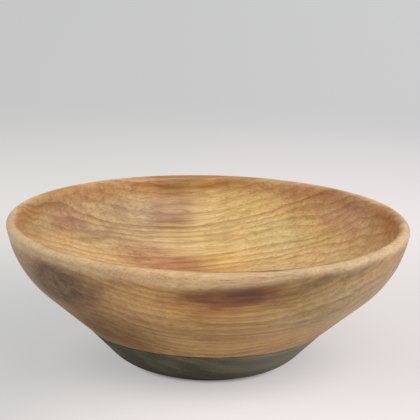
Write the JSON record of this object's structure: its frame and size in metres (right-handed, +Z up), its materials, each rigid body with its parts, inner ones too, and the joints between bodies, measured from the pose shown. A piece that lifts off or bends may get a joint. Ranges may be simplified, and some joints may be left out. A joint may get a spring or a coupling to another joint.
{
  "type": "turned bowl",
  "caption": "Wide turned wooden bowl with a curved, flaring wall, an upright rim and a dark turned foot, for standing on a table and holding fruit.",
  "frame": {"origin": "on the turning axis, on the plane that the foot stands on", "axes": "+Z up along the turning axis; +X and +Y lie in the plane that the foot stands on"},
  "size_m": [0.298, 0.298, 0.109],
  "materials": {
    "figured_wood": "turned, oiled and waxed, satin",
    "dark_wood": "dark hardwood, waxed, satin",
    "baize": "matt wool baize"
  },
  "bodies": {
    "root": {"bowl_body": "figured_wood", "foot": "dark_wood", "baize_disc": "baize"}
  },
  "joints": []
}
